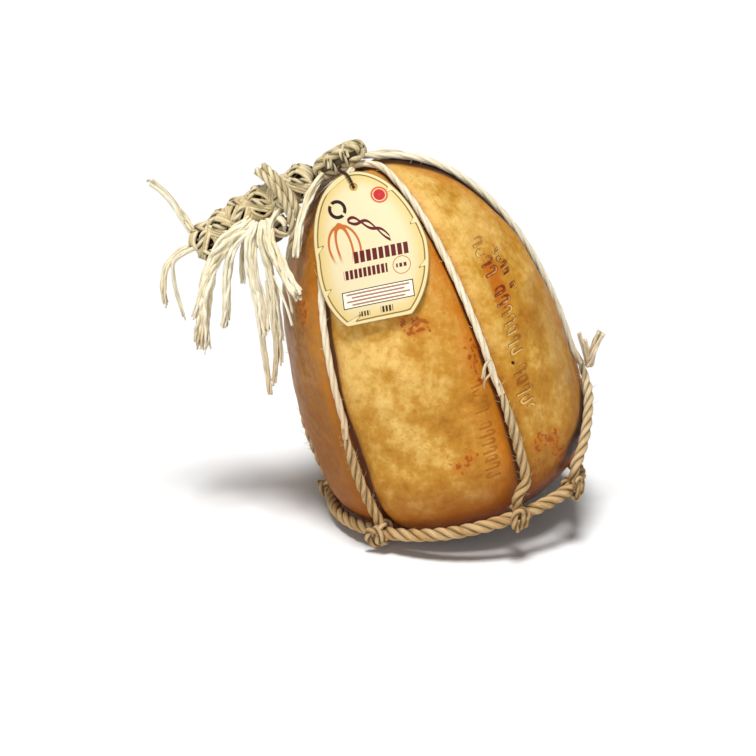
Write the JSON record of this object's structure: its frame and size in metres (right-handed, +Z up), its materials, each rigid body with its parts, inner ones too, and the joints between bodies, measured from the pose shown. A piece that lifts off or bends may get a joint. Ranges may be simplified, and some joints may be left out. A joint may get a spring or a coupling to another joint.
{
  "type": "provolone cheese",
  "caption": "Whole pear-shaped hanging cheese in a knotted natural-fibre rope harness with a base ring, a knotted rope chain with tassel, and a paper tag.",
  "frame": {"origin": "The middle of the object's footprint box, on the surface that it stands on.", "axes": "+Z is up. +X runs across the front view to the right: the knotted chain and tassel are on the -X side. -Y is the front, where the tag hangs."},
  "size_m": [0.278, 0.1734, 0.2388],
  "materials": {
    "rind": "satin",
    "rope": "matte",
    "tag_paper": "matte",
    "dark_string": "matte"
  },
  "bodies": {
    "root": {"cheese": "rind", "base_ring": "rope", "hitch_1": "rope", "tie_1_cord": "rope", "tie_1_splice": "rope", "hitch_2": "rope", "tie_2_cord": "rope", "tie_2_splice": "rope", "hitch_3": "rope", "tie_3_cord": "rope", "tie_3_splice": "rope", "hitch_4": "rope", "tie_4_cord": "rope", "tie_4_splice": "rope", "hitch_5": "rope", "tie_5_cord": "rope", "tie_5_splice": "rope", "hitch_6": "rope", "tie_6_cord": "rope", "tie_6_splice": "rope", "crown_knot": "rope", "chain_knot_1": "rope", "chain_knot_2": "rope", "chain_knot_3": "rope", "chain_knot_4": "rope", "chain_knot_5": "rope", "chain_knot_6": "rope", "tail_high": "rope", "tail_left": "rope", "tail_left_thin": "rope", "tail_beside_tag": "rope", "chain_band": "rope", "tassel_1": "rope", "tassel_2": "rope", "tassel_3": "rope", "tassel_4": "rope", "tassel_5": "rope", "tassel_6": "rope", "frayed_end_1": "rope", "frayed_end_2": "rope", "frayed_end_3": "rope", "frayed_end_4": "rope", "tassel_binding": "rope", "tag": "tag_paper", "tag_string": "dark_string"}
  },
  "joints": []
}
